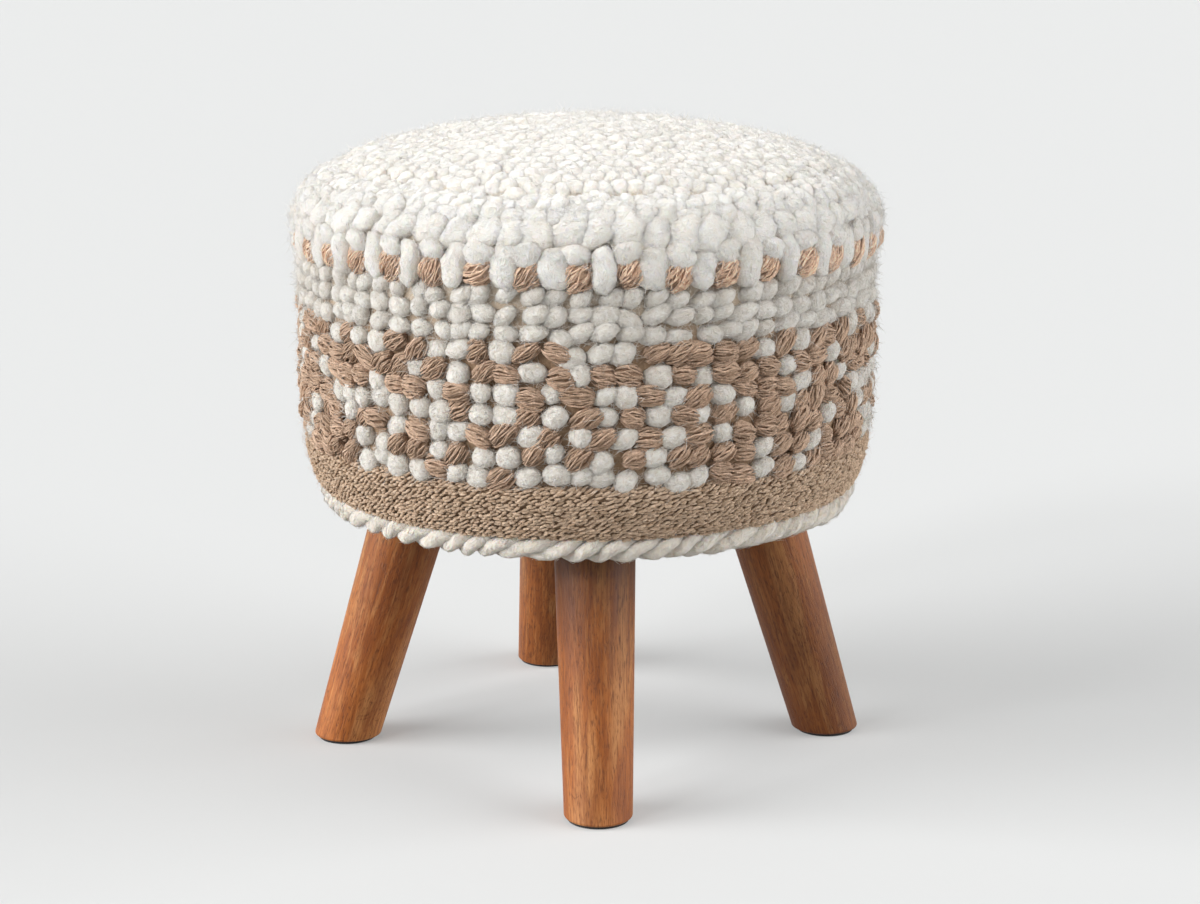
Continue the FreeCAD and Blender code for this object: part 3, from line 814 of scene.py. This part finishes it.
cream_loops("loop_row_tall", 2.0 * pairs + 1, RIM_Z - LOOP_ROW * 0.5, TALL_LOOP)
cream_loops("loop_row_caps", 2.0 * pairs, RIM_Z - LOOP_ROW * 0.17, CAP_LOOP)
spot, *axes = loop_ring(2.0 * pairs, RIM_Z - LOOP_ROW * 0.64)
sizes = varied(TAN_LOOP, 0.06, len(pairs))
lift = np.full(len(pairs), TAN_LOOP_LIFT)
lean = near(TAN_LOOP_LEAN, 0.2, len(pairs))
loop_tan = set_plies("loop_row_tan", spot, axes, sizes, lift, lean, np.full(len(pairs), 1.95), 36, 0.0006)
finish_piece(loop_tan, tan_wool)
# The cores are toned darker than the strands over them: a painted shade for the gaps between the strands.
loop_cores = set_puffs("loop_row_tan_cores", spot, axes, sizes * 0.94, lift, lean, np.full(len(pairs), 1.1),
                       rings=4, round_count=7)
finish_piece(loop_cores, tan_wool)


# Rim
# Four rows of thick cream roving, wrapped over the seam between the side and the top panel.
# The lowest row is the largest, and its wraps lean over to the right, each over the start of the next.
top_wool = wool("top_wool", PALE, PALE_SHADE, 0.25, sheen=0.6, hollow_shading=0.9, tuft=0.3)
rim_station = int(side_station(RIM_Z))
edge = GROUND[: rim_station + 1, 0]
edge_run = np.concatenate([[0], np.cumsum(np.linalg.norm(np.diff(edge, axis=0), axis=1))])
up_from_rim = edge_run[-1] - edge_run[::-1]
down_stations = np.arange(rim_station, -1, -1)


def rim_row(name, number, climb, size, lift, lean, each, hollow_shading, finish):
    """A ring of leaning wraps on the shoulder, climb metres up from the rim."""
    angle = (np.arange(number) + chance.random()) / number * 2 * math.pi
    angle = angle + chance.normal(0, 0.08, number) * 2 * math.pi / number
    climbs = near(climb + drift(angle, 0.0005), 0.0006, number)
    spot, *axes = on_ground(np.interp(climbs, up_from_rim, down_stations), angle)
    laid = [spot, axes, varied(size, 0.09, number), np.full(number, lift),
            near(math.radians(lean), 0.14, number), near(1, 0.02, number)]
    finish_piece(set_puffs(name, *laid, 8, 12, 0.35, 0.12, hollow_shading=hollow_shading), finish)
    finish_piece(set_fuzz(name + "_fuzz", *laid, each, 0.35, length=0.005), pale_fuzz)


rim_row("rim_lower", 66, 0.0056, (0.0142, 0.0104, 0.0062), 0.0018, 14, 120, 0.4, pale_wool)
rim_row("rim_middle", 84, 0.0168, (0.0112, 0.0082, 0.005), 0.0014, 18, 85, 0.35, pale_wool)
rim_row("rim_upper", 104, 0.026, (0.009, 0.0068, 0.0042), 0.0012, 22, 60, 0.25, top_wool)
rim_row("rim_inner", 124, 0.0335, (0.0074, 0.006, 0.0036), 0.001, 24, 45, 0.2, top_wool)


# Top panel
# Small puffed stitches of the same cream roving, in rows across the domed top.
# They are pulled through the ground like the pile of a rug, and fluff up where they are brushed.
TOP_PITCH = (0.0092, 0.0104)
TOP_EDGE = 0.0372
TOP_PUFF = (0.0072, 0.0076, 0.0038)
TOP_LIFT = 0.0014
TOP_TILT = math.radians(35)
TOP_STRAY = 0.0007
lanes = int(2 * SEAT_RADIUS / TOP_PITCH[0])
lane = np.arange(-lanes // 2, lanes // 2 + 1)
across, deep = np.meshgrid(lane, lane)
x = near((across + 0.5 * (deep % 2)) * TOP_PITCH[0], TOP_STRAY, across.shape)
y = near(deep * TOP_PITCH[1], TOP_STRAY, across.shape)
crown_reach = np.linalg.norm(edge[:, :2], axis=1)
inside = np.hypot(x, y) < np.interp(TOP_EDGE, up_from_rim, crown_reach[::-1])
x, y = x[inside], y[inside]
station = np.interp(np.hypot(x, y), crown_reach, np.arange(rim_station + 1))
place, _, _, out = on_ground(station, np.arctan2(y, x))
along = unit(np.array((1.0, 0.0, 0.0)) - out * out[:, :1])
total = len(x)
laid = [place, (along, np.cross(out, along), out), varied(TOP_PUFF, 0.08, total),
        near(TOP_LIFT, 0.0005, total), near(TOP_TILT, 0.5, total), near(0.96, 0.02, total)]
finish_piece(set_puffs("top_panel_puffs", *laid, lump=0.08, hollow_shading=0.2), top_wool)
finish_piece(set_fuzz("top_panel_fuzz", *laid, 32, length=0.005, width=0.0002), pale_fuzz)


# Lower band
# A fine, flat weave of tan yarn under the beads, worked in short slanting stitches.
# It takes the cover round the tuck of the seat and down to the hem.
BAND_ROWS = 22
BAND_COLUMNS = 280
BAND_STITCH = (0.0028, 0.00105, 0.0014)
BAND_LIFT = 0.0016
BAND_TILT = math.radians(17)
FINE_TAN = (0.8, 0.62, 0.47)
FINE_TAN_SHADE = (0.52, 0.37, 0.26)
row, column = stitch_grid(BAND_ROWS, BAND_COLUMNS)
total = row.size
first, last = side_station(BEADS_Z + 0.001), STATIONS - TURNED_UNDER + 0.2
angle = near((column + 0.5 * (row % 2)) / BAND_COLUMNS * 2 * math.pi, 0.003, total)
station = near(first + (last - first) * (row + 0.3) / BAND_ROWS + drift(angle, 0.06), 0.08, total)
place, *axes = on_ground(station, angle)
band = set_puffs("lower_band_stitches", place, axes, varied(BAND_STITCH, 0.15, total),
                 near(BAND_LIFT, 0.0003, total), near(BAND_TILT, 0.2, total), near(1, 0.22, total),
                 rings=2, round_count=5)
fine_tan_wool = wool("fine_tan_wool", FINE_TAN, FINE_TAN_SHADE, 0.1, fibre=(2, 5), strength=0.5, sheen=0.9)
finish_piece(band, fine_tan_wool)


# Hem braid
# Three thick strands of cream roving, twisted together and sewn along the hem.
# Their nap is brushed up, so that short fibres lie slantwise over the twist.
BRAID_STRANDS = 3
BRAID_TURNS = 22
BRAID_SQUEEZE = 0.0012
BRAID_SWELL = 1.4
BRAID_RAISE = 0.0003
BRAID_PROUD = 0.0015
BRAID_STEPS = 720
BRAID_SIDES = 12
BRAID_FUZZ = 14000
FUZZ_WIDTH = 0.00016
FUZZ_RISE = 0.002
HEM_CREAM = (0.94, 0.895, 0.835)
HEM_SHADE = (0.8, 0.735, 0.65)
low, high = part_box("hem_braid")
braid_radius = BRAID_SWELL * ((high.z - low.z) / 2 + BRAID_SQUEEZE / 2)
ring_radius = high.x - braid_radius + BRAID_PROUD
strand_radius = braid_radius * 0.58


def braid_points(number, t, v, stand=0.0):
    """Points on strand number, at t along the ring and v round the strand, both in radians.

    The strand is a helix that winds BRAID_TURNS times round the hem's ring; stand lifts a point off it.
    """
    unsteady = 0.4 * np.sin(9 * t) + 0.3 * np.sin(16 * t + 1)
    phase = BRAID_TURNS * t + unsteady + 2 * math.pi * number / BRAID_STRANDS
    wobble = 1 + 0.1 * np.sin(11 * t + number) + 0.1 * np.sin(29 * t + 2 * number)
    offset = (braid_radius - strand_radius) * wobble
    thick = strand_radius * (1 + 0.07 * np.sin(23 * t + 3 * number) + 0.06 * np.sin(61 * t + 3 * v)) + stand
    radial = ring_radius + offset * np.cos(phase) + thick * np.cos(v)
    height = (low.z + high.z) / 2 + BRAID_RAISE + offset * np.sin(phase) + thick * np.sin(v)
    return np.stack([radial * np.cos(t), radial * np.sin(t), height], -1).reshape(-1, 3)


t = np.arange(BRAID_STEPS) / BRAID_STEPS * 2 * math.pi
v = np.arange(BRAID_SIDES) / BRAID_SIDES * 2 * math.pi
t, v = np.meshgrid(t, v, indexing="ij")
points = np.concatenate([braid_points(number, t, v) for number in range(BRAID_STRANDS)])
loop = ring_quads(BRAID_STEPS + 1, BRAID_SIDES)
loop = np.where(loop >= t.size, loop - t.size, loop)[:, ::-1]
uv = np.stack([t * 40, np.abs(v / math.pi - 1)], -1).reshape(-1, 2)
braid = copies_mesh("hem_braid_strands", points, uv, [loop], np.ones(BRAID_STRANDS))
hem_wool = wool("hem_wool", HEM_CREAM, HEM_SHADE, 0.3, fibre=(3, 22), strength=0.6, hollow_shading=0.75)
finish_piece(braid, hem_wool)
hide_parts("hem_braid")

run, angle, uv, faces = puff_grid(1, 3)
number, t, v, slant, reach, rise = chance.random((6, BRAID_FUZZ, 1))
step = 0.5 + 0.5 * run
t = 2 * math.pi * t + (0.01 + 0.016 * reach) * step * np.sign(slant - 0.5)
thick = FUZZ_WIDTH * (1 - np.abs(run))
v = 2 * math.pi * v + 3.0 * (slant - 0.5) * step + thick * np.cos(angle) / strand_radius
stand = FUZZ_RISE * rise**2 * step + thick * np.sin(angle)
points = braid_points(np.floor(BRAID_STRANDS * number), t, v, stand)
fuzz = copies_mesh("hem_braid_fuzz", points, uv, faces, 1 + 0.12 * chance.normal(0, 1, BRAID_FUZZ))
finish_piece(fuzz, hem_wool)


# Loose fibres
# Wool sheds a haze of fine, curled fibres: cream over the top and the plain rows, tan from the plied yarn.
# They lie close over the stitches, and a few longer hairs stray below the rim.
TOP_HAZE = (0.003, 0.005)
LOOP_HAZE = (0.005, 0.0085)
STRAY_HAZE = (0.0075, 0.01)
PATTERN_HAZE = (0.004, 0.0075)
BAND_HAZE = (0.002, 0.0035)
fuzz_wool = wool("fuzz_wool", PALE, PALE, 0.5, fibre=(2, 6), strength=0.0, sheen=0.5)


def set_fibres(name, root, way, curl, length, width, shade):
    """Fine fibres as one mesh: bent three-sided spindles from root along way, curling aside.

    A fibre passes through root + length (way s + curl s^2) for s from 0 to 1.
    """
    run, angle, uv, faces = puff_grid(1, 3)
    s = (run * 0.5 + 0.5)[:, None]
    side = unit(np.cross(way, chance.normal(0, 1, (len(root), 3))))
    other = np.cross(way, side)
    girth = width * np.clip(1 - run**2, 0, 1) ** 0.5
    middle = (way[:, None] * s + curl[:, None] * s**2) * length[:, None, None] + root[:, None]
    points = (middle + side[:, None] * (girth * np.cos(angle))[:, None]
              + other[:, None] * (girth * np.sin(angle))[:, None])
    return copies_mesh(name, points.reshape(-1, 3), uv, faces, shade)


def haze(name, number, stations, lift, rise, length, finish, width=0.00006):
    """A haze of fibres between two stations, evenly over the area; lift is its least and greatest height."""
    weight = np.linalg.norm(GROUND[:, 0, :2], axis=1)
    every = np.arange(STATIONS)
    weight = np.where((every >= stations[0]) & (every <= stations[1]), weight, 0.0)
    share = np.cumsum(weight) / weight.sum()
    station = np.interp(chance.random(number), share, every)
    spot, along, up, out = on_ground(station, chance.uniform(0, 2 * math.pi, number))
    heading = chance.uniform(0, 2 * math.pi, number)[:, None]
    steep = np.abs(chance.normal(0, rise, number))[:, None]
    way = unit(along * np.cos(heading) + up * np.sin(heading) + out * steep)
    curl = chance.normal(0, 0.3, (number, 3)) - 0.25 * steep * out
    root = spot + out * chance.uniform(*lift, number)[:, None]
    lengths = length * chance.uniform(0.5, 1.4, number)
    piece = set_fibres(name, root, way, curl, lengths, width, near(1, 0.05, number))
    finish_piece(piece, finish)


edge_station = float(side_station(RIM_Z))
loop_station = float(side_station(RIM_Z - LOOP_ROW))
plain_station = float(side_station(levels[len(CHART)] - PLAIN_ROW / 2))
bead_station = float(side_station(BEADS_Z))
hem_station = STATIONS - TURNED_UNDER
haze("fibres_top", 14000, (1, edge_station), TOP_HAZE, 0.35, 0.005, fuzz_wool, width=0.0001)
haze("fibres_loops", 3000, (edge_station - 2, loop_station), LOOP_HAZE, 0.6, 0.008, fuzz_wool)
haze("stray_hairs", 900, (edge_station - 1, loop_station), STRAY_HAZE, 0.15, 0.011, fuzz_wool, width=0.0001)
haze("fibres_plain_rows", 4000, (loop_station, plain_station), PATTERN_HAZE, 0.5, 0.006, fuzz_wool)
haze("fibres_pattern", 6000, (plain_station, bead_station), PATTERN_HAZE, 0.5, 0.0055, tan_wool)
haze("fibres_band", 4000, (bead_station, hem_station), BAND_HAZE, 0.5, 0.005, tan_wool)


# Dust cover
# A thin black cloth under the board, pulled flat over the cover's turned edge and stapled round its rim.
# It is bonded fibre, not woven, and puckers a little towards the staples.
low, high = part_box("dust_cover")
DUST_RADIUS = high.x
DUST_SAG = 0.0006
DUST_RINGS = 60
DUST_AROUND = 160
DUST_PUCKERS = 16
DUST_STEP_INSET = 0.005
DUST_STEP_WIDTH = 0.004
DUST_GAP = 0.0005
DUST_FLOOR_GAP = 0.0004
DUST_TONES = ((0.012, 0.012, 0.013, 1), (0.045, 0.045, 0.047, 1))
rings = np.linspace(0, 1, DUST_RINGS)[:, None] ** 0.8 * DUST_RADIUS
t = np.arange(DUST_AROUND)[None] / DUST_AROUND * 2 * math.pi
onto_fold = np.clip((rings - FOLD_RADIUS + DUST_STEP_INSET) / DUST_STEP_WIDTH, 0, 1)
drop = (high.z - low.z - DUST_GAP - DUST_FLOOR_GAP) * onto_fold * onto_fold * (3 - 2 * onto_fold)
pull = np.sin(DUST_PUCKERS * t) * np.clip(rings / DUST_RADIUS - 0.55, 0, 1) ** 2
height = high.z - DUST_GAP - drop - DUST_SAG * pull
dust_points = np.stack([rings * np.cos(t), rings * np.sin(t), height], -1)
dust = domed_mesh("dust_cover_cloth", dust_points, downwards=True)


def dust_cloth():
    """Black non-woven cloth: matted fibres with a dimpled bond."""
    material, tree, shader = new_material("dust_cloth")
    place = add(tree, "TexCoord").outputs["Object"]
    colour = ramp(tree, noise(tree, place, 1200.0, 6.0), *zip((0.3, 0.7), DUST_TONES))
    dimples = add(tree, "TexVoronoi", Vector=place, Scale=600.0, Randomness=0.3).outputs["Distance"]
    bump = add(tree, "Bump", Height=dimples, Strength=0.5, Distance=0.0004).outputs[0]
    fill(shader, Base_Color=colour, Roughness=0.9, Normal=bump)
    return material


dust.data.materials.append(dust_cloth())
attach(dust, "root")
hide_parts("dust_cover")


# Studio
# A pale floor that runs out of sight, windows on both sides, a little light from above and an even sky.
# The camera stands where the photograph was taken: a little right of the axis, looking down at the seat.
FLOOR_REACH = 30
FLOOR_TONE = (0.52, 0.53, 0.54)
FLOOR_BOUNCE = (0.38, 0.38, 0.37)
FLOOR_TINT = (0.985, 1.0, 0.995, 1)
FLOOR_GLOW = 0.225
SKY_LIGHT = (0.22, 0.217, 0.21)
SKY_TONE = (0.835, 0.84, 0.83)
DAYLIGHT = (1.0, 0.99, 0.97)
CAMERA_RIGHT = 0.0091
CAMERA_BACK = 1.7953
CAMERA_HEIGHT = 0.6323
CAMERA_PITCH = math.radians(13.4)
FOCAL_PIXELS = 2652
PICTURE_PIXELS = 1200
SENSOR_WIDTH = 36


def backdrop_rays(tree):
    """One for rays that show the backdrop: from the camera, off a shiny surface or through a clear one."""
    seen = add(tree, "LightPath").outputs
    shown = add(tree, "Math", seen["Is Camera Ray"], seen["Is Glossy Ray"], operation="ADD").outputs[0]
    clear = seen["Is Transmission Ray"]
    return add(tree, "Math", shown, clear, operation="ADD", use_clamp=True).outputs[0]


floor_mesh = bpy.data.meshes.new("studio_floor")
corners = [(FLOOR_REACH * x, FLOOR_REACH * y, 0) for x, y in ((-1, -1), (1, -1), (1, 1), (-1, 1))]
floor_mesh.from_pydata(corners, [], [(0, 1, 2, 3)])
floor = bpy.data.objects.new("studio_floor", floor_mesh)
bpy.context.scene.collection.objects.link(floor)
material, tree, shader = new_material("studio_floor")
shown = backdrop_rays(tree)
tone = mixed(tree, shown, (*FLOOR_BOUNCE, 1), (*FLOOR_TONE, 1))
glow = add(tree, "Math", shown, FLOOR_GLOW, operation="MULTIPLY").outputs[0]
fill(shader, Base_Color=tone, Emission_Color=FLOOR_TINT, Emission_Strength=glow, Roughness=1.0,
     Specular_IOR_Level=0.0)
floor_mesh.materials.append(material)

world = bpy.data.worlds.new("studio_sky")
world.use_nodes = True
tree = world.node_tree
sky = mixed(tree, backdrop_rays(tree), (*SKY_LIGHT, 1), (*SKY_TONE, 1))
plug(tree.nodes["Background"].inputs["Color"], sky)
bpy.context.scene.world = world


def soft_sun(name, strength, spread, azimuth, elevation):
    """A sun of a wide angle that shines from an azimuth and an elevation, all in degrees."""
    light = bpy.data.lights.new(name, "SUN")
    light.energy = strength
    light.angle = math.radians(spread)
    light.color = DAYLIGHT
    lamp = bpy.data.objects.new(name, light)
    lamp.rotation_euler = (0, math.radians(90 - elevation), math.radians(azimuth))
    bpy.context.scene.collection.objects.link(lamp)


soft_sun("left_window", 3.9, 42, 188, 20)
soft_sun("front_left", 0.8, 12, 220, 27)
soft_sun("right_window", 3.7, 65, -10, 15)
soft_sun("overhead", 0.26, 60, 258, 78)

camera = bpy.data.cameras.new("camera")
camera.sensor_width = SENSOR_WIDTH
camera.lens = SENSOR_WIDTH * FOCAL_PIXELS / PICTURE_PIXELS
view = bpy.data.objects.new("camera", camera)
cos, sin = math.cos(VIEW_TURN), math.sin(VIEW_TURN)
view.location = (
    CAMERA_RIGHT * cos + CAMERA_BACK * sin,
    CAMERA_RIGHT * sin - CAMERA_BACK * cos,
    CAMERA_HEIGHT,
)
view.rotation_euler = (math.pi / 2 - CAMERA_PITCH, 0, VIEW_TURN)
bpy.context.scene.collection.objects.link(view)
bpy.context.scene.camera = view
bpy.context.scene.view_settings.view_transform = "Standard"
